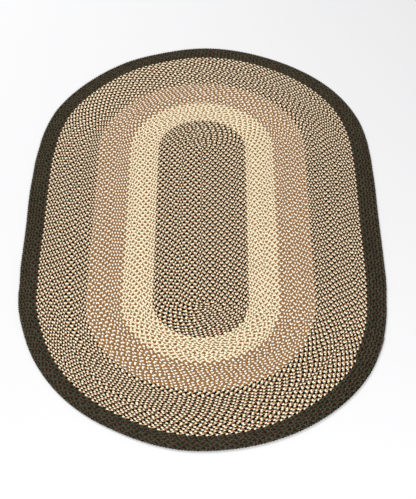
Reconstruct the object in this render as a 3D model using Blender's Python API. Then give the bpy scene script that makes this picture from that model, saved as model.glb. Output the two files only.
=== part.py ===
"""Oval braided rug: five lengths of flat braid, each coiled round the last and laced row to row.

Units are metres, +Z is up. The rug lies flat on z = 0 with its long way along Y and the middle of
its outline over the origin. Each length of braid is one solid: a ring with a flat underside, and one
raised rib on top for every row of the coil.
"""

import math
from collections import namedtuple

import bmesh
import bpy
from mathutils import Vector

MM = 0.001

# ---- driving sizes ---------------------------------------------------------------------------
HALF_RUN = 477 * MM  # half of the straight run that the coil starts from
THICKNESS = 9 * MM  # from the floor to the top of a row
GROOVE_DEPTH = 3 * MM  # how far the laced groove between two rows lies below their tops
GAP = 0.3 * MM  # between one length of braid and the next
EDGE_ROLL = 2.5 * MM  # how far the outermost row curls in under itself at the floor
EDGE_HEIGHT = 4 * MM  # where that row reaches furthest out

END_STEPS = 18  # steps round each half-round end
SIDE_STEPS = 6  # steps along each straight side

# From the straight run outwards: the rows that a length of braid makes, and how wide they lie.
Length = namedtuple("Length", "name rows width_mm colour")
LENGTHS = (
    Length("centre_oval", rows=16, width_mm=198, colour=(0.32, 0.23, 0.14)),
    Length("cream_ring", rows=11, width_mm=129, colour=(0.66, 0.52, 0.34)),
    Length("tan_ring", rows=12, width_mm=146, colour=(0.48, 0.33, 0.20)),
    Length("mixed_ring", rows=17, width_mm=211, colour=(0.32, 0.23, 0.14)),
    Length("dark_border", rows=6, width_mm=78, colour=(0.035, 0.026, 0.017)),
)

# How the outline strays from a true oval, as a worn rug's does. share_round runs from 0 at the
# foot of the right side, up it to SIDE_SHARE, and round the far end, left side and near end to 1.
Stray = namedtuple("Stray", "place share_round out_mm")
SIDE_SHARE = 0.2
END_SHARE = 0.3
STRAYS = (
    Stray("right side, near", share_round=0.03, out_mm=11),
    Stray("right side, far", share_round=0.18, out_mm=10),
    Stray("far right shoulder", share_round=0.22, out_mm=1),
    Stray("far right shoulder, above", share_round=0.25, out_mm=-2),
    Stray("far end, right", share_round=0.305, out_mm=-10),
    Stray("far end, middle", share_round=0.345, out_mm=-1),
    Stray("far end, left", share_round=0.385, out_mm=-18),
    Stray("far left shoulder", share_round=0.43, out_mm=-26),
    Stray("far left shoulder, below", share_round=0.475, out_mm=-20),
    Stray("left side, far", share_round=0.53, out_mm=0),
    Stray("left side, middle", share_round=0.57, out_mm=3),
    Stray("left side, near", share_round=0.655, out_mm=0),
    Stray("near left shoulder, above", share_round=0.69, out_mm=-6),
    Stray("near left shoulder", share_round=0.73, out_mm=-26),
    Stray("near end, left", share_round=0.80, out_mm=-17),
    Stray("near end, middle", share_round=0.85, out_mm=3),
    Stray("near right shoulder", share_round=0.94, out_mm=8),
    Stray("foot of the right side", share_round=0.985, out_mm=-4),
)
TRUE_LENGTHS = 3  # the first lengths lie true, and the rows outside them stray more and more

HALF_WIDTH = sum(length.width_mm for length in LENGTHS) * MM
TRUE_HALF_WIDTH = sum(length.width_mm for length in LENGTHS[:TRUE_LENGTHS]) * MM
GROOVE_HEIGHT = THICKNESS - GROOVE_DEPTH


def stray_at(share):
    """How far the outline lies outside a true oval at this share of the way round."""
    for here, after in zip(STRAYS, STRAYS[1:] + STRAYS[:1]):
        span = (after.share_round - here.share_round) % 1
        along = (share - here.share_round) % 1
        if along < span:
            ease = (1 - math.cos(math.pi * along / span)) / 2
            return (here.out_mm + (after.out_mm - here.out_mm) * ease) * MM
    return 0.0


def stations():
    """The places round the oval where a section stands: its foot on the straight run, its
    direction outwards, and how far the outline strays there."""
    places = []
    for side, heading in ((1, 0.0), (-1, math.pi)):
        start = 0 if side > 0 else SIDE_SHARE + END_SHARE
        for step in range(SIDE_STEPS):
            along = step / SIDE_STEPS
            foot = Vector((0, side * HALF_RUN * (2 * along - 1), 0))
            places.append((foot, heading, start + SIDE_SHARE * along))
        for step in range(END_STEPS):
            along = step / END_STEPS
            foot = Vector((0, side * HALF_RUN, 0))
            places.append((foot, heading + math.pi * along, start + SIDE_SHARE + END_SHARE * along))
    return [
        (foot, Vector((math.cos(heading), math.sin(heading), 0)), stray_at(share))
        for foot, heading, share in places
    ]


STATIONS = stations()


def place(station, radius, height):
    """The point at this distance from the straight run, at one of the stations."""
    foot, outwards, stray = station
    looseness = max(0.0, (radius - TRUE_HALF_WIDTH) / (HALF_WIDTH - TRUE_HALF_WIDTH))
    point = foot + outwards * (radius + stray * looseness)
    point.z = height
    return point


def outline_middle():
    """The middle of the box round the rug's outer edge."""
    edge = [place(station, HALF_WIDTH, 0) for station in STATIONS]
    return Vector(
        [(min(p[i] for p in edge) + max(p[i] for p in edge)) / 2 for i in range(2)] + [0]
    )


def section(length, inner, outer):
    """The section of one length of braid, as (distance from the straight run, height) pairs: up
    its inner wall, over a rib for each row, and down its outer wall."""
    pitch = (outer - inner) / length.rows
    is_centre = inner == 0
    is_border = length is LENGTHS[-1]
    first_top = inner + pitch / 2
    if is_centre:
        points = [(first_top, 0), (first_top, THICKNESS)]
    else:
        wall = inner + GAP / 2
        points = [(wall, 0), (wall, GROOVE_HEIGHT), (first_top, THICKNESS)]
    for row in range(1, length.rows):
        points.append((inner + pitch * row, GROOVE_HEIGHT))
        points.append((inner + pitch * row + pitch / 2, THICKNESS))
    if is_border:
        points += [(outer - EDGE_ROLL / 2, GROOVE_HEIGHT), (outer, EDGE_HEIGHT)]
        points.append((outer - EDGE_ROLL, 0))
    else:
        points += [(outer - GAP / 2, GROOVE_HEIGHT), (outer - GAP / 2, 0)]
    return points


def coil_mesh(name, points, is_centre, middle):
    """The section turned once round, one step for each station, and laid out on the oval."""
    bm = bmesh.new()
    corners = [bm.verts.new((radius, 0, height)) for radius, height in points]
    pairs = list(zip(corners, corners[1:])) + [(corners[-1], corners[0])]
    if is_centre:  # the first run is solid up to the middle line, so it has no inner wall
        pairs = pairs[1:]
    edges = [bm.edges.new(pair) for pair in pairs]
    bmesh.ops.spin(
        bm,
        geom=corners + edges,
        axis=(0, 0, 1),
        cent=(0, 0, 0),
        angle=math.tau,
        steps=len(STATIONS),
        use_merge=True,
    )
    for vert in bm.verts:
        turn = math.atan2(vert.co.y, vert.co.x) / math.tau * len(STATIONS)
        station = STATIONS[round(turn) % len(STATIONS)]
        radius = math.hypot(vert.co.x, vert.co.y)
        vert.co = place(station, radius, vert.co.z) - middle
    open_edges = [edge for edge in bm.edges if edge.is_boundary]
    bmesh.ops.holes_fill(bm, edges=open_edges, sides=0)
    bmesh.ops.recalc_face_normals(bm, faces=bm.faces)
    mesh = bpy.data.meshes.new(name)
    bm.to_mesh(mesh)
    bm.free()
    return mesh


def braid_material(length):
    material = bpy.data.materials.new(length.name)
    material.use_nodes = True
    shader = material.node_tree.nodes["Principled BSDF"]
    shader.inputs["Base Color"].default_value = (*length.colour, 1)
    shader.inputs["Roughness"].default_value = 0.95
    shader.inputs["Metallic"].default_value = 0
    return material


def build_rug():
    for old in list(bpy.data.objects):
        bpy.data.objects.remove(old, do_unlink=True)
    rug = bpy.data.collections.new("braided_rug")
    bpy.context.scene.collection.children.link(rug)
    middle = outline_middle()
    inner = 0.0
    for length in LENGTHS:
        outer = inner + length.width_mm * MM
        points = section(length, inner, outer)
        mesh = coil_mesh(length.name, points, inner == 0, middle)
        mesh.materials.append(braid_material(length))
        mesh.shade_smooth()
        mesh.set_sharp_from_angle(angle=math.radians(60))
        rug.objects.link(bpy.data.objects.new(length.name, mesh))
        inner = outer


build_rug()
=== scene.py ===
# %% [markdown]
# # An oval braided rug
#
# The real rug is one flat three-strand braid after another, coiled round a straight first run and
# laced row to row. There are five lengths of braid, and each has its own three strands, so the
# coil shows as bands of colour. It could be made as a flat sheet with a braid pattern on it, but a
# sheet has no grooves and catches no light between its stitches. This lesson lays the coil out as a
# path instead, walks along it with Geometry Nodes, and sets down one plump stitch of yarn at each
# place where a strand comes to the top of the braid.

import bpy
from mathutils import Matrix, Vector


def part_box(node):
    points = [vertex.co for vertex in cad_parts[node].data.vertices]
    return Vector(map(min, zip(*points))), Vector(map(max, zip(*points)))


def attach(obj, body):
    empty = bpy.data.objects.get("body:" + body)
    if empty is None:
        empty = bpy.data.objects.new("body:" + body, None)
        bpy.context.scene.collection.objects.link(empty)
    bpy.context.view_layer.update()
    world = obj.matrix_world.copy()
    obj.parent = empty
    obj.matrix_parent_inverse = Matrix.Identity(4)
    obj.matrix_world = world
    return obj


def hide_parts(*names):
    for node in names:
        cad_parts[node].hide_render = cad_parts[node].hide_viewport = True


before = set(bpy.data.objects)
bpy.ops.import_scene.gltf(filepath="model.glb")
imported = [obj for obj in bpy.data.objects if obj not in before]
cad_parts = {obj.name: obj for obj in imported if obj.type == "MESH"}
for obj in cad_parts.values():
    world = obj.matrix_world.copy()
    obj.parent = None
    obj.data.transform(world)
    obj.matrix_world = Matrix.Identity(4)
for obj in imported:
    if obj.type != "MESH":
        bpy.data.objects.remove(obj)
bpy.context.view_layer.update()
print("the rug's solids:", sorted(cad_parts))

# %% [markdown]
# The rest of the lesson needs Blender's own modules and a few of Python's. Blender counts in
# metres, while braid is measured in millimetres, so every small size below is written with MM.

# %% Everything else that the lesson uses
import math
import random
from collections import namedtuple
from itertools import accumulate

import bmesh
import bpy
from mathutils import Matrix, Vector

MM = 0.001
scene = bpy.context.scene
print("Blender", bpy.app.version_string)

# %% [markdown]
# ## Sizes
#
# A braid has a cycle: after 37 mm each of its strands is back where it started. In one cycle a
# strand comes up twice, once over the left half of the braid and once over the right half, so a
# cycle shows six stitches. The table has a row for each length of braid, from the middle of the
# rug outwards, with the rows of the coil that it makes, how wide those rows lie, its cycle, and
# its three strands of yarn. Where a row lies snug against the row inside it, its pattern is a set
# share of a cycle ahead of that row's. The table gives that step and how much it varies.

# %% The five lengths of braid
Length = namedtuple("Length", "node rows width_mm cycle_mm step spread slot strands")
LENGTHS = (
    Length(
        "centre_oval", rows=16, width_mm=198, cycle_mm=37.0, step=0.35, spread=0.07,
        slot="mixed_braid", strands=("black", "cream", "tan"),
    ),
    Length(
        "cream_ring", rows=11, width_mm=129, cycle_mm=37.5, step=0.40, spread=0.35,
        slot="cream_braid", strands=("cream", "ecru", "light_brown"),
    ),
    Length(
        "tan_ring", rows=12, width_mm=146, cycle_mm=37.6, step=0.25, spread=0.35,
        slot="tan_braid", strands=("tan_brown", "camel", "off_white"),
    ),
    Length(
        "mixed_ring", rows=17, width_mm=211, cycle_mm=36.1, step=0.85, spread=0.25,
        slot="mixed_braid", strands=("black", "cream", "tan"),
    ),
    Length(
        "dark_border", rows=6, width_mm=78, cycle_mm=36.3, step=0.60, spread=0.30,
        slot="dark_braid", strands=("green_black", "dark_brown", "umber"),
    ),
)
ROWS = sum(length.rows for length in LENGTHS)
EDGES = [width * MM for width in accumulate(length.width_mm for length in LENGTHS)]
HALF_WIDTH = EDGES[-1]
MEAN_PITCH = HALF_WIDTH / ROWS
print(f"{ROWS} rows, {MEAN_PITCH / MM:.1f} mm apart")

# %% [markdown]
# The straight first run that the coil grows from isn't guessed here. The solid of the first length
# is an oval round it, so the run is as long as that oval is longer than it is wide. The same box
# gives the rug's middle and its thickness.

# %% Measure the first run
first_low, first_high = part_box("centre_oval")
MIDDLE = (first_low + first_high) / 2
MIDDLE.z = 0
HALF_RUN = ((first_high.y - first_low.y) - (first_high.x - first_low.x)) / 2
THICKNESS = first_high.z
print(f"coiled round a run of {2 * HALF_RUN:.3f} m, {THICKNESS / MM:.0f} mm thick")

# %% [markdown]
# A rug that is walked on doesn't keep a true oval. This one is drawn in at its two left shoulders
# and stands out along its right side. The table names places round the rug, as shares of the way
# round from the foot of the right side, and says how far out the edge lies there. The inner bands
# lie true, and the rows outside them stray more and more. The border's own inner edge, its seam,
# lies a little further out in some places and further in at others.

# %% How the outline strays
Stray = namedtuple("Stray", "place share_round edge_mm seam_mm")
STRAYS = (
    Stray("right side, near", share_round=0.03, edge_mm=11, seam_mm=-3),
    Stray("right side, far", share_round=0.18, edge_mm=10, seam_mm=0),
    Stray("far right shoulder", share_round=0.22, edge_mm=1, seam_mm=-1),
    Stray("far right shoulder, above", share_round=0.25, edge_mm=-2, seam_mm=3),
    Stray("far end, right", share_round=0.305, edge_mm=-10, seam_mm=2),
    Stray("far end, middle", share_round=0.345, edge_mm=-1, seam_mm=3),
    Stray("far end, left", share_round=0.385, edge_mm=-18, seam_mm=2),
    Stray("far left shoulder", share_round=0.43, edge_mm=-26, seam_mm=-4),
    Stray("far left shoulder, below", share_round=0.475, edge_mm=-20, seam_mm=-3),
    Stray("left side, far", share_round=0.53, edge_mm=0, seam_mm=2),
    Stray("left side, middle", share_round=0.57, edge_mm=3, seam_mm=-2),
    Stray("left side, near", share_round=0.655, edge_mm=0, seam_mm=2),
    Stray("near left shoulder, above", share_round=0.69, edge_mm=-6, seam_mm=2),
    Stray("near left shoulder", share_round=0.73, edge_mm=-26, seam_mm=-1),
    Stray("near end, left", share_round=0.80, edge_mm=-17, seam_mm=4),
    Stray("near end, middle", share_round=0.85, edge_mm=3, seam_mm=9),
    Stray("near right shoulder", share_round=0.94, edge_mm=8, seam_mm=-5),
    Stray("foot of the right side", share_round=0.985, edge_mm=-4, seam_mm=-3),
)
for stray in STRAYS:
    print(f"{stray.place}: {stray.edge_mm} mm")

# %% [markdown]
# Between two places the stray eases from one to the next along half a cosine wave, so the edge
# has no corners. The edge's stray fades to nothing at the third length of braid, and the seam's
# own stray fades both ways from the seam.

# %% Stray at any place
SIDE_SHARE = 0.2  # a straight side's share of the way round, and below it an end's
END_SHARE = 0.3
HALF_ROUND = SIDE_SHARE + END_SHARE
TRUE_HALF_WIDTH = EDGES[2]  # the first three lengths lie true
SEAM = EDGES[3]  # where the border is laced on


def stray_at(share, column):
    """A column of the table at this share of the way round, eased between the table's rows."""
    for here, after in zip(STRAYS, STRAYS[1:] + STRAYS[:1]):
        span = (after.share_round - here.share_round) % 1
        along = (share - here.share_round) % 1
        if along < span:
            ease = (1 - math.cos(math.pi * along / span)) / 2
            low, high = getattr(here, column), getattr(after, column)
            return (low + (high - low) * ease) * MM
    return 0.0


def looseness(radius):
    """The part of the edge's straying that the yarn at this distance shares."""
    return max(0.0, (radius - TRUE_HALF_WIDTH) / (HALF_WIDTH - TRUE_HALF_WIDTH))


def strayed(radius, share):
    """How far the yarn at this place lies outside its true distance from the straight run."""
    inwards = (radius - TRUE_HALF_WIDTH) / (SEAM - TRUE_HALF_WIDTH)
    outwards = (HALF_WIDTH - radius) / (HALF_WIDTH - SEAM)
    seam = stray_at(share, "seam_mm") * max(0.0, min(inwards, outwards))
    return stray_at(share, "edge_mm") * looseness(radius) + seam


print(f"the near left shoulder's edge moves {strayed(HALF_WIDTH, 0.73) / MM:.0f} mm")

# %% [markdown]
# ## The coil
#
# A coil round a straight run has two centres. Each side is straight, and each half-round end takes
# the braid half a row further out. The path starts at the near end of the first run, goes up the
# right side, round the far end, down the left side and round the near end, and so on. Near its tip
# the braid is pulled thin and tucked against the row inside it, so the edge has no step.

# %% How the coil grows and ends
COIL_INSET = 0.25  # how many rows inside a true oval's edge a turn starts
TIP_SHARE = 0.975  # where in the last turn the braid ends
TUCK_SHARE = 0.08  # the share of the last turn over which it thins


def edge_of(row):
    """How far the inner edge of a row lies from the straight run. A row may be a part number."""
    inner = 0.0
    for length in LENGTHS:
        if row <= length.rows or length is LENGTHS[-1]:
            return (inner + row * length.width_mm / length.rows) * MM
        row -= length.rows
        inner += length.width_mm


def gained_at(share):
    """The rows that the coil has gained at this share of a turn: half a row at each end."""
    on_sides = min(share, SIDE_SHARE) + max(0, min(share, 1 - END_SHARE) - HALF_ROUND)
    return (share - on_sides) / END_SHARE / 2


def tail_at(share):
    """What is left of the last turn's width at this share of it."""
    return min(1.0, max(0.0, (TIP_SHARE - share) / TUCK_SHARE))


print("rows gained by the two ends of a turn:", gained_at(HALF_ROUND), gained_at(1))

# %% [markdown]
# No row of a real rug is laced quite evenly. Small waves run round the rug, and neighbouring rows
# share them. The table gives each wave's count round the rug, how much it turns with the distance
# from the first run, and where it starts. The edge's measured stray already holds the coil's own
# growth, so that growth comes off again.

# %% Where the worn rug's yarn lies
Ripple = namedtuple("Ripple", "waves swirl start")
RIPPLES = (Ripple(waves=7, swirl=11, start=0), Ripple(waves=12, swirl=0, start=3))
RIPPLE_HIGH = 0.8 * MM


def loosened(radius, share):
    """A true distance from the straight run, moved to where the worn rug's yarn lies."""
    own = (gained_at(share) - COIL_INSET + tail_at(share) - 1) * MEAN_PITCH
    ripple = sum(
        math.sin(math.tau * wave.waves * share + wave.swirl * radius + wave.start)
        for wave in RIPPLES
    )
    ripple *= RIPPLE_HIGH * min(1, radius / HALF_WIDTH)
    return radius + strayed(radius, share) - own * looseness(radius) + ripple


print(f"the edge's start lies {loosened(HALF_WIDTH, 0):.3f} m from the first run")

# %% [markdown]
# One turn is a line of places. A place knows how far round it is, where the middle of the braid
# lies there, and how much of its full width the braid still has. The same stops round the oval
# serve for the bed under the stitches later on.

# %% One turn of the braid
STEP = 12 * MM  # between the path's points
LEAST_END_STEPS = 12
TIP_WIDTH = 0.2  # what is left of the braid's width at its tip


def round_stops(side_steps, end_steps):
    """Stops round the oval: the share of the way, the foot on the first run and the direction
    outwards."""
    for half, side in enumerate((1, -1)):
        start = half * HALF_ROUND
        for step in range(side_steps):
            foot = Vector((0, side * HALF_RUN * (2 * step / side_steps - 1), 0))
            yield start + SIDE_SHARE * step / side_steps, foot, Vector((side, 0, 0))
        for step in range(end_steps):
            turned = math.pi * (half + step / end_steps)
            foot = Vector((0, side * HALF_RUN, 0))
            outwards = Vector((math.cos(turned), math.sin(turned), 0))
            yield start + SIDE_SHARE + END_SHARE * step / end_steps, foot, outwards


def turn_line(row):
    """The middle line of one turn, as (share of the turn, place, width of the braid)."""
    side_steps = round(2 * HALF_RUN / STEP)
    end_steps = max(LEAST_END_STEPS, round(math.pi * edge_of(row + 1) / STEP))
    for share, foot, outwards in round_stops(side_steps, end_steps):
        start = row + gained_at(share) - COIL_INSET
        inner = loosened(edge_of(start), share)
        outer = loosened(edge_of(start + 1), share)
        width = max(TIP_WIDTH, tail_at(share)) if row == ROWS - 1 else 1.0
        yield share, MIDDLE + foot + outwards * (inner + (outer - inner) * width / 2), width


print("the first turn has", len(list(turn_line(0))), "points")

# %% [markdown]
# ## A place for every stitch
#
# The stitches of one turn are spread evenly over it. Their number is rounded to the nearest whole
# cycle and the row's step, since the lacing pulls each row's stitches in between those of the row
# inside it.

# %% Count the cycles along the path
vary = random.Random(5)
line = []  # how many turns have been made, and the place and width of the braid there
counted = [0.0]  # how many cycles have been made there
row = 0
for length in LENGTHS:
    for _ in range(length.rows):
        turn = [(row + share, place, width) for share, place, width in turn_line(row)]
        joined = line[-1:] + turn
        runs = [(after[1] - here[1]).length for here, after in zip(joined, joined[1:])]
        step = length.step + vary.uniform(-length.spread, length.spread)
        cycles = round(sum(runs) / (length.cycle_mm * MM) - step) + step
        for run in runs:
            counted.append(counted[-1] + run * cycles / sum(runs))
        line += turn
        row += 1
print(f"{len(line)} points, {counted[-1]:.0f} cycles")

# %% [markdown]
# Two slow waves stretch and squeeze the braid a little, as uneven hands do. Each stitch then gets
# its place by walking along the path until its cycle has been counted.

# %% Stitch places
STITCHES = 6  # in a cycle
WAVE = 0.10  # of a cycle
WAVE_CYCLES = (29, 83)  # how many cycles each of the two waves takes


def stitch_places():
    """How many turns have been made, the place and the width at each stitch of the coil."""
    here = 0
    for number in range(int(counted[-1] * STITCHES)):
        cycle = number / STITCHES
        cycle += WAVE * sum(math.sin(math.tau * cycle / span) for span in WAVE_CYCLES)
        cycle = min(max(cycle, 0), counted[-1])
        while counted[here + 1] < cycle:
            here += 1
        along = (cycle - counted[here]) / (counted[here + 1] - counted[here])
        start, end = line[here], line[here + 1]
        yield (
            start[0] + (end[0] - start[0]) * along,
            start[1].lerp(end[1], along),
            start[2] + (end[2] - start[2]) * along,
        )


places = list(stitch_places())
print(len(places), "stitches in the rug")

# %% [markdown]
# Geometry Nodes read the places from a curve, one for each length of braid. A curve's points also
# have a radius, which carries the width of the braid there. The next length of braid is spliced on
# shortly before a turn is complete.

# %% One guide curve for each length
SPLICE = 0.045  # how early in a turn the next length starts, as a share of the turn


def guide(name, places):
    """A curve with a point at every place, for Geometry Nodes to set a stitch on."""
    curve = bpy.data.curves.new(name, "CURVE")
    curve.dimensions = "3D"
    spline = curve.splines.new("POLY")
    spline.points.add(len(places) - 1)
    for point, (_, place, width) in zip(spline.points, places):
        point.co = (*place, 1)
        point.radius = width
    return curve


GUIDES = {}
first_row = 0
for length in LENGTHS:
    end_row = first_row + length.rows
    start = first_row - SPLICE
    end = end_row - SPLICE if end_row < ROWS else ROWS - 1 + TIP_SHARE
    band = [place for place in places if start <= place[0] < end]
    GUIDES[length.node] = guide(f"{length.node}_guide", band)
    print(f"{length.node}: {len(band)} stitches")
    first_row = end_row

# %% [markdown]
# ## Node trees as Python
#
# Both Geometry Nodes and shaders are written below with two small classes. A wire is one output of
# a node, and maths on a wire adds the Math nodes, so a formula reads as it would on paper.


# %% A wire
class Wire:
    """One output of a node. Maths with numbers and other wires adds Math nodes."""

    def __init__(self, nodes, socket):
        self.nodes = nodes
        self.socket = socket

    def maths(self, operation, *values):
        inputs = dict(enumerate(values))
        return self.nodes.add("ShaderNodeMath", {"operation": operation}, inputs)["Value"]

    def __add__(self, other):
        return self.maths("ADD", self, other)

    def __radd__(self, other):
        return self.maths("ADD", other, self)

    def __sub__(self, other):
        return self.maths("SUBTRACT", self, other)

    def __rsub__(self, other):
        return self.maths("SUBTRACT", other, self)

    def __mul__(self, other):
        return self.maths("MULTIPLY", self, other)

    def __rmul__(self, other):
        return self.maths("MULTIPLY", other, self)

    def __mod__(self, other):
        return self.maths("MODULO", self, other)

    def __rmod__(self, other):
        return self.maths("MODULO", other, self)

    def sine(self):
        return self.maths("SINE", self)

    def cosine(self):
        return self.maths("COSINE", self)

    def size(self):
        return self.maths("ABSOLUTE", self)


print("a wire adds its own Math nodes")

# %% [markdown]
# `Nodes.add` makes any other node from its type, its settings and what goes into its sockets, and
# gives back the node's outputs as wires by their names. Some nodes have several sockets with one
# name and show only those that their settings call for, so hidden sockets are passed over.


# %% A tree
class Nodes:
    """A node tree that is being written."""

    def __init__(self, tree):
        self.tree = tree

    def add(self, kind, settings=None, inputs=None):
        """One node, with its settings and inputs filled in. Gives its outputs as wires."""
        node = self.tree.nodes.new(kind)
        for name, value in (settings or {}).items():
            setattr(node, name, value)
        for key, value in (inputs or {}).items():
            self.feed(node, key, value)
        return {out.name: Wire(self, out) for out in reversed(node.outputs) if out.enabled}

    def feed(self, node, key, value):
        """Links or sets one input, found by its number or by its name."""
        if isinstance(key, str):
            socket = next(s for s in node.inputs if s.name == key and s.enabled)
        else:
            socket = node.inputs[key]
        if isinstance(value, Wire):
            self.tree.links.new(value.socket, socket)
        else:
            socket.default_value = value

    def arrow(self, operation, first, second):
        """Vector Math on two vectors, or on a vector and a number for SCALE."""
        inputs = {0: first, "Scale": second} if operation == "SCALE" else {0: first, 1: second}
        return self.add("ShaderNodeVectorMath", {"operation": operation}, inputs)["Vector"]


print("a tree adds every other node")

# %% [markdown]
# ## One stitch
#
# Where a strand comes to the top it shows as one plump grain: round at its sides, flattened on top
# by feet, and tapered where it dives under the next strand. The braid looks the same from below,
# so the stitch goes right through its thickness. A swept tube would follow each strand more truly,
# but there are over forty thousand stitches, so one has only two rings of five points and two tips.
# Its own coordinates are kept in an attribute, for the yarn's twist and fibres to follow.

# %% Make the stitch
STITCH_LONG = 14.0 * MM
STITCH_WIDE = 7.2 * MM
STITCH_HIGH = THICKNESS - 0.2 * MM
RING_PLACE = 0.29  # how far each ring stands from the middle, as a share of the length
# Round the ring: how far across, and how far above or below the middle, as shares of the size.
RING = ((-0.3, 0.48), (0.3, 0.48), (0.5, 0.2), (0.0, -0.5), (-0.5, 0.2))
TIP_HIGH = 0.2  # above the middle


def keep_own_place(mesh, scale):
    """Stores where each point lies on its own piece, for the yarn to read."""
    own = mesh.attributes.new("ply", "FLOAT_VECTOR", "POINT")
    for vert, item in zip(mesh.vertices, own.data):
        item.vector = vert.co / scale


def stitch_mesh():
    """A stitch in shares of its size, filled out to its true size at the end."""
    bm = bmesh.new()
    rings = [
        [bm.verts.new((end * RING_PLACE, across, up)) for across, up in RING]
        for end in (-1, 1)
    ]
    tips = [bm.verts.new((end / 2, 0, TIP_HIGH)) for end in (-1, 1)]
    for i in range(len(RING)):
        j = (i + 1) % len(RING)
        bm.faces.new((rings[0][i], rings[0][j], rings[1][j], rings[1][i]))
        bm.faces.new((rings[0][j], rings[0][i], tips[0]))
        bm.faces.new((rings[1][i], rings[1][j], tips[1]))
    bmesh.ops.triangulate(bm, faces=bm.faces)
    bmesh.ops.recalc_face_normals(bm, faces=bm.faces)
    mesh = bpy.data.meshes.new("stitch")
    bm.to_mesh(mesh)
    bm.free()
    keep_own_place(mesh, 1)
    mesh.transform(Matrix.Diagonal((STITCH_LONG, STITCH_WIDE, STITCH_HIGH, 1)))
    mesh.shade_smooth()
    return mesh


STITCH = bpy.data.objects.new("stitch", stitch_mesh())
print("one stitch has", len(STITCH.data.polygons), "triangles")

# %% [markdown]
# ## Yarn
#
# The rug is braided of thick, soft, twisted yarn in eleven dyes. A dye has a light and a dark tone,
# and says how plump its yarn is, since a thick strand shows more of itself than a thin one.

# %% The dyes
Dye = namedtuple("Dye", "plump light dark")
DYES = {
    "black": Dye(1.30, (0.010, 0.008, 0.006), (0.003, 0.002, 0.002)),
    "cream": Dye(0.94, (0.98, 0.93, 0.74), (0.89, 0.81, 0.58)),
    "tan": Dye(1.01, (0.45, 0.235, 0.108), (0.31, 0.155, 0.066)),
    "ecru": Dye(1.03, (0.85, 0.75, 0.53), (0.68, 0.57, 0.37)),
    "light_brown": Dye(0.92, (0.37, 0.168, 0.050), (0.25, 0.105, 0.030)),
    "tan_brown": Dye(1.03, (0.36, 0.19, 0.070), (0.245, 0.125, 0.044)),
    "camel": Dye(1.03, (0.40, 0.212, 0.080), (0.275, 0.142, 0.052)),
    "off_white": Dye(0.92, (0.99, 0.96, 0.87), (0.90, 0.86, 0.75)),
    "green_black": Dye(1.00, (0.067, 0.090, 0.064), (0.021, 0.031, 0.021)),
    "dark_brown": Dye(1.00, (0.114, 0.060, 0.036), (0.040, 0.020, 0.012)),
    "umber": Dye(1.02, (0.036, 0.024, 0.012), (0.012, 0.008, 0.004)),
}
print("the dyes:", ", ".join(DYES))

# %% [markdown]
# Three things vary over a strand: each stitch is a little lighter or darker than the next, the
# plies of the yarn wind round it, and fine fibres stand out of it. All three mix the two tones of
# the dye, and the plies and the fibres also lift the surface. Where they lift it the colour is
# lighter too, so the grooves between the plies are painted shade. The plies are a wave that climbs
# across the stitch as it goes along, and the fibres are noise drawn out along it. Both are worked
# out from the stitch's own coordinates, so they follow it wherever it is laid. Nothing here shines.

# %% Spin the yarns
PLY_ALONG = 1.0  # turns of the twist over a stitch's length, and below it its width and height
PLY_ACROSS = 0.9
PLY_THROUGH = 0.6
FIBRES = (3.0, 13.0, 13.0)  # along, across and through a stitch
FIBRE_SHIFT = 40  # so that stitches of different tones don't share their fibres
LIFT = 0.9 * MM  # of the plies and the fibres
SOFT = {"Roughness": 0.95, "Specular IOR Level": 0.05}


def yarn(name, dye):
    """Soft twisted yarn in one dye."""
    material = bpy.data.materials.new(f"{name}_yarn")
    material.use_nodes = True
    nodes = Nodes(material.node_tree)
    shader = material.node_tree.nodes["Principled BSDF"]
    tone = nodes.add("ShaderNodeAttribute", {"attribute_name": "tone"})["Fac"]
    own = nodes.add("ShaderNodeAttribute", {"attribute_name": "ply"})["Vector"]
    part = nodes.add("ShaderNodeSeparateXYZ", None, {0: own})
    wind = part["Y"] * PLY_ACROSS + part["Z"] * PLY_THROUGH + part["X"] * PLY_ALONG
    plies = (wind * math.tau).sine().size()
    drawn = nodes.arrow("MULTIPLY", own, FIBRES)
    fibre = nodes.add(
        "ShaderNodeTexNoise",
        {"noise_dimensions": "4D"},
        {"Vector": drawn, "W": tone * FIBRE_SHIFT, "Scale": 1.0, "Detail": 2.0},
    )["Fac"]
    # painted shade: the plies' crests take the light tone and the grooves between them the dark
    # one, on top of each stitch's random tone and the fibres
    light = tone * 0.4 + plies * 0.35 + fibre * 0.55 - 0.2
    colour = nodes.add(
        "ShaderNodeMix",
        {"data_type": "RGBA"},
        {"Factor": light, "A": (*dye.dark, 1), "B": (*dye.light, 1)},
    )["Result"]
    height = plies * 0.6 + fibre * 0.8
    bump = nodes.add(
        "ShaderNodeBump", None, {"Strength": 0.9, "Distance": LIFT, "Height": height}
    )["Normal"]
    for socket, value in {"Base Color": colour, "Normal": bump, **SOFT}.items():
        nodes.feed(shader, socket, value)
    return material


YARNS = {name: yarn(name, dye) for name, dye in DYES.items()}
print(len(YARNS), "yarns spun")

# %% [markdown]
# ## Laying the stitches
#
# The tree takes a guide curve and one of the braid's three strands. Every point of the guide is a
# stitch: the stitches fall left and right of the middle line in turn, and the three strands take
# turns too, so a strand has every third point. Each point moves to its own side, and its stitch
# is turned to lean in towards the middle, which gives the braid its row of arrowheads.

# %% Move a point aside and turn its stitch
UP = (0.0, 0.0, 1.0)


def set_aside(nodes, given, walk, right, side, width):
    """The guide's points, each moved to its own side of the braid and up off the floor."""
    aside = nodes.arrow("SCALE", right, side * given["Reach"] * width)
    lifted = nodes.add("ShaderNodeCombineXYZ", None, {"Z": given["Lift"]})["Vector"]
    offset = nodes.arrow("ADD", aside, lifted)
    inputs = {"Geometry": walk["Points"], "Offset": offset}
    return nodes.add("GeometryNodeSetPosition", None, inputs)["Geometry"]


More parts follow.
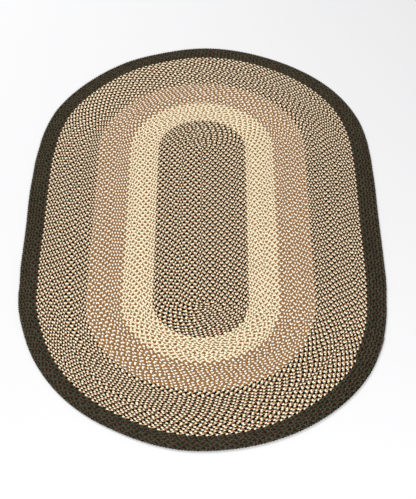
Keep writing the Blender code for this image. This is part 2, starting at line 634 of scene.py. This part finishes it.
def lean_in(nodes, walk, right, side, lean):
    """The turn that points a stitch along the braid and leans it in towards the middle."""
    heading = nodes.arrow(
        "ADD",
        nodes.arrow("SCALE", walk["Tangent"], lean.cosine()),
        nodes.arrow("SCALE", right, side * lean.sine() * -1),
    )
    return nodes.add(
        "FunctionNodeAxesToRotation",
        {"primary_axis": "X", "secondary_axis": "Z"},
        {"Primary Axis": heading, "Secondary Axis": UP},
    )["Rotation"]


print("a stitch moves aside and leans in")

# %% [markdown]
# No two stitches are quite alike: each leans, stretches and is toned a little differently. Four
# random numbers do that, and their seed is an input of the tree, so the rug comes out the same
# every time. The tree's last two nodes make the stitches real and give them their yarn.

# %% The strand tree
SOCKETS = (
    ("Stitch", "NodeSocketObject"),
    ("Strand", "NodeSocketFloat"),
    ("Reach", "NodeSocketFloat"),
    ("Lean", "NodeSocketFloat"),
    ("Lift", "NodeSocketFloat"),
    ("Plump", "NodeSocketFloat"),
    ("Unlike", "NodeSocketFloat"),
    ("Seed", "NodeSocketInt"),
    ("Yarn", "NodeSocketMaterial"),
)


def draw(nodes, given, index, extra):
    """A random number from -1 to 1 for every stitch, another one for each value of extra."""
    inputs = {"Min": -1.0, "Max": 1.0, "ID": index, "Seed": given["Seed"] + extra}
    return nodes.add("FunctionNodeRandomValue", {"data_type": "FLOAT"}, inputs)["Value"]


def strand_tree():
    """Sets one strand's stitches on a guide curve."""
    tree = bpy.data.node_groups.new("braid_strand", "GeometryNodeTree")
    tree.interface.new_socket("Geometry", in_out="INPUT", socket_type="NodeSocketGeometry")
    for name, kind in SOCKETS:
        tree.interface.new_socket(name, in_out="INPUT", socket_type=kind)
    tree.interface.new_socket("Geometry", in_out="OUTPUT", socket_type="NodeSocketGeometry")
    nodes = Nodes(tree)
    given = nodes.add("NodeGroupInput")

    walk = nodes.add("GeometryNodeCurveToPoints", {"mode": "EVALUATED"}, {0: given["Geometry"]})
    index = nodes.add("GeometryNodeInputIndex")["Index"]
    width = nodes.add("GeometryNodeInputRadius")["Radius"]
    side = 1 - index % 2 * 2
    is_strand = index.maths("COMPARE", index * 2 % 3, given["Strand"], 0.5)
    right = nodes.arrow("CROSS_PRODUCT", walk["Tangent"], UP)
    laid = set_aside(nodes, given, walk, right, side, width)

    leant, longer, wider, toned = (draw(nodes, given, index, extra) for extra in range(4))
    turn = lean_in(nodes, walk, right, side, given["Lean"] + leant * given["Unlike"])
    full = width * given["Plump"]
    long = full * (longer * given["Unlike"] + 1)
    wide = full * (wider * given["Unlike"] + 1)
    size = nodes.add("ShaderNodeCombineXYZ", None, {"X": long, "Y": wide, "Z": 1.0})["Vector"]
    stitch = nodes.add("GeometryNodeObjectInfo", None, {"Object": given["Stitch"]})["Geometry"]
    laid = nodes.add(
        "GeometryNodeInstanceOnPoints",
        None,
        {
            "Points": laid,
            "Selection": is_strand,
            "Instance": stitch,
            "Rotation": turn,
            "Scale": size,
        },
    )["Instances"]
    laid = nodes.add(
        "GeometryNodeStoreNamedAttribute",
        {"data_type": "FLOAT", "domain": "INSTANCE"},
        {"Geometry": laid, "Name": "tone", "Value": toned * 0.5 + 0.5},
    )["Geometry"]
    laid = nodes.add("GeometryNodeRealizeInstances", None, {"Geometry": laid})["Geometry"]
    laid = nodes.add(
        "GeometryNodeSetMaterial", None, {"Geometry": laid, "Material": given["Yarn"]}
    )["Geometry"]
    nodes.add("NodeGroupOutput", None, {"Geometry": laid})
    return tree


STRAND_TREE = strand_tree()
print("the strand tree has", len(STRAND_TREE.nodes), "nodes")

# %% [markdown]
# Each strand of each length is its own piece. The modifier sits on a copy of the guide curve, and
# its result is turned into a plain mesh, so that nothing is left to work out later. A modifier
# knows its inputs by identifiers, which the tree's own list of sockets gives.

# %% Lay every strand
REACH = 2.4 * MM  # from the braid's middle line to the middle of a stitch
LEAN = math.radians(22)
UNLIKE = 0.09
INPUT = {
    item.name: item.identifier
    for item in STRAND_TREE.interface.items_tree
    if item.item_type == "SOCKET" and item.in_out == "INPUT"
}


def lay_strand(length, number, name):
    """One strand of a length of braid, as a plain mesh of its stitches."""
    carrier = bpy.data.objects.new(name, GUIDES[length.node])
    scene.collection.objects.link(carrier)
    modifier = carrier.modifiers.new("strand", "NODES")
    modifier.node_group = STRAND_TREE
    values = {
        "Stitch": STITCH,
        "Strand": float(number),
        "Reach": REACH,
        "Lean": LEAN,
        "Lift": THICKNESS / 2,
        "Plump": DYES[length.strands[number]].plump,
        "Unlike": UNLIKE,
        "Seed": LENGTHS.index(length),
        "Yarn": YARNS[length.strands[number]],
    }
    for socket, value in values.items():
        modifier[INPUT[socket]] = value
    settled = carrier.evaluated_get(bpy.context.evaluated_depsgraph_get())
    mesh = bpy.data.meshes.new_from_object(settled)
    mesh.name = name
    bpy.data.objects.remove(carrier)
    piece = bpy.data.objects.new(name, mesh)
    scene.collection.objects.link(piece)
    return piece


STRANDS = {length.node: [] for length in LENGTHS}
for length in LENGTHS:
    for number, colour in enumerate(length.strands):
        piece = lay_strand(length, number, f"{length.node}_{colour}_strand")
        STRANDS[length.node].append(piece)
        print(piece.name, len(piece.data.polygons), "triangles")

# %% [markdown]
# ## The inside of the braid
#
# Between the stitches one looks down on the same strands as they pass underneath, where little
# light gets to. The strands could be carried on down there, but nobody would make them out. So a
# thin bed of yarn halfway up stands for them, and closes the rug from both sides. It is one flat
# piece that follows the same outline, a little inside it.

# %% Make the bed
BED_LOW = 4.2 * MM
BED_HIGH = 5.4 * MM
BED_INSET = 2.0 * MM
BED_END_STEPS = 36
BED_SIDE_STEPS = 12


def bed_ring(radius):
    """Points round the oval at one distance from the straight run."""
    for share, foot, outwards in round_stops(BED_SIDE_STEPS, BED_END_STEPS):
        yield MIDDLE + foot + outwards * (radius + strayed(radius, share))


def bed_mesh():
    """A flat board under the whole coil, with each band's faces in a slot of their own."""
    bm = bmesh.new()
    edges = [MEAN_PITCH / 2, *EDGES]
    edges[-1] -= BED_INSET
    rings = {}
    for height in (BED_LOW, BED_HIGH):
        for radius in edges:
            rings[radius, height] = [bm.verts.new((*p.xy, height)) for p in bed_ring(radius)]
    count = len(rings[edges[0], BED_LOW])
    for height in (BED_LOW, BED_HIGH):
        bm.faces.new(rings[edges[0], height])
        for band, (inner, outer) in enumerate(zip(edges, edges[1:])):
            for i in range(count):
                j = (i + 1) % count
                a, b = rings[inner, height], rings[outer, height]
                bm.faces.new((a[i], b[i], b[j], a[j])).material_index = band
    low, high = rings[edges[-1], BED_LOW], rings[edges[-1], BED_HIGH]
    for i in range(count):
        j = (i + 1) % count
        bm.faces.new((low[i], low[j], high[j], high[i])).material_index = len(LENGTHS) - 1
    bmesh.ops.recalc_face_normals(bm, faces=bm.faces)
    mesh = bpy.data.meshes.new("braid_bed")
    bm.to_mesh(mesh)
    bm.free()
    keep_own_place(mesh, STITCH_LONG)
    return mesh


bed = bpy.data.objects.new("braid_bed", bed_mesh())
scene.collection.objects.link(bed)
print("the bed has", len(bed.data.polygons), "faces")

# %% [markdown]
# Each band of the bed is a mix of that band's dyes, much darker than the strands above it, because
# it stands for yarn that lies in their shade.

# %% Dye the bed
BED_SHADE = 0.15  # how much of the yarn's own light is left down there
BED_TONES = (1.3, 0.7)  # the light and the dark tone, as shares of the mix


def bed_yarn(length):
    """The mean of a band's dyes, in shade."""
    tones = [tone for name in length.strands for tone in (DYES[name].light, DYES[name].dark)]
    mean = [sum(tone[i] for tone in tones) / len(tones) for i in range(3)]
    light, dark = (tuple(BED_SHADE * share * part for part in mean) for share in BED_TONES)
    return yarn(f"{length.node}_bed", Dye(1.0, light, dark))


for length in LENGTHS:
    bed.data.materials.append(bed_yarn(length))
print("the bed has", len(bed.data.materials), "yarns")

# %% [markdown]
# ## Tie the pieces to the model
#
# Every piece rides on the rug's one body. The strands of a length stand for its solid, and so does
# the bed. The rug's area is that of a stadium: a full round of its two ends and the straight part
# between them.

# %% Ride and replace
RUG_AREA = math.pi * HALF_WIDTH**2 + 4 * HALF_RUN * HALF_WIDTH
for length in LENGTHS:
    for piece in STRANDS[length.node]:
        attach(piece, "root")
        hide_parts(length.node)
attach(bed, "root")
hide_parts(*[length.node for length in LENGTHS])
bpy.data.objects.remove(STITCH)

# %% [markdown]
# ## The floor
#
# The rug lies on a plain pale floor, wide enough for its edges to stay out of view from low angles
# too. It hardly shines, so that it takes the rug's soft shadow and no glare.

# %% Lay the floor
FLOOR_WIDE = 60

bpy.ops.mesh.primitive_plane_add(size=FLOOR_WIDE)
floor = bpy.context.object
floor.name = "floor"
paint = bpy.data.materials.new("pale_floor")
paint.use_nodes = True
paint_shader = paint.node_tree.nodes["Principled BSDF"]
paint_shader.inputs["Base Color"].default_value = (0.71, 0.71, 0.718, 1)
paint_shader.inputs["Roughness"].default_value = 0.8
paint_shader.inputs["Specular IOR Level"].default_value = 0.05
floor.data.materials.append(paint)
print("the floor lies at z =", floor.location.z)

# %% [markdown]
# ## The light
#
# Two large softboxes and a pale sky light the rug. The near one is the stronger, stands behind the
# camera and fills the grooves. The far one stands to the left and models the stitches. Both are
# large, so the shadow at the rug's edge is soft. The view transform is the plain one, because the
# dyes are given as they should look.

# %% Light the studio
SKY_STRENGTH = 0.40
Softbox = namedtuple("Softbox", "name place aim size watts")
SOFTBOXES = (
    Softbox("far_softbox", place=(-3.4, 3.8, 6.0), aim=(0, 0, 0), size=3.2, watts=380),
    Softbox("near_softbox", place=(1.4, -6.8, 5.1), aim=(0, -0.3, 0), size=4.0, watts=620),
)

world = bpy.data.worlds.new("studio")
scene.world = world
world.use_nodes = True
sky = world.node_tree.nodes["Background"]
sky.inputs["Color"].default_value = (1, 1, 1, 1)
sky.inputs["Strength"].default_value = SKY_STRENGTH

for box in SOFTBOXES:
    lamp = bpy.data.lights.new(box.name, "AREA")
    lamp.shape = "DISK"
    lamp.size = box.size
    lamp.energy = box.watts
    made = bpy.data.objects.new(box.name, lamp)
    made.location = box.place
    heading = Vector(box.aim) - Vector(box.place)
    made.rotation_euler = heading.to_track_quat("-Z", "Y").to_euler()
    scene.collection.objects.link(made)
scene.view_settings.view_transform = "Standard"
print(len(SOFTBOXES), "softboxes and a pale sky")

# %% [markdown]
# ## The camera
#
# The camera looks down along the rug at 45 degrees through a long lens, from far enough back for
# the whole rug. It is built from its three axes: across, up and back along its line of sight. A
# hand-held camera is never quite square to what it looks at, so this one is turned and rolled by
# about half a degree.

# %% Stand the camera
LENS = 100.0
SENSOR = 36
PITCH = math.radians(45)
ROLL = 0.0102
YAW = 0.0056
DISTANCE = 5.919
LOOK_AT = Vector((0.0261, -0.1745, 0)) + Vector((MIDDLE.x, MIDDLE.y, 0))

camera_data = bpy.data.cameras.new("camera")
camera_data.lens = LENS
camera_data.sensor_width = SENSOR
camera_data.clip_end = 100
camera = bpy.data.objects.new("camera", camera_data)
scene.collection.objects.link(camera)
across = Vector((1, 0, 0))
upwards = Vector((0, math.sin(PITCH), math.cos(PITCH)))
back = Vector((0, -math.cos(PITCH), math.sin(PITCH)))
rolled_across = across * math.cos(ROLL) + upwards * math.sin(ROLL)
rolled_upwards = upwards * math.cos(ROLL) - across * math.sin(ROLL)
stand = Matrix((rolled_across, rolled_upwards, back)).transposed().to_4x4()
stand.translation = back * DISTANCE
camera.matrix_world = Matrix.Translation(LOOK_AT) @ Matrix.Rotation(-YAW, 4, "Z") @ stand
scene.camera = camera
print("the camera stands at", [round(x, 2) for x in camera.matrix_world.translation])

# %% [markdown]
# ## Finish
#
# The last cell brings the view layer up to date.

# %% Finish
bpy.context.view_layer.update()
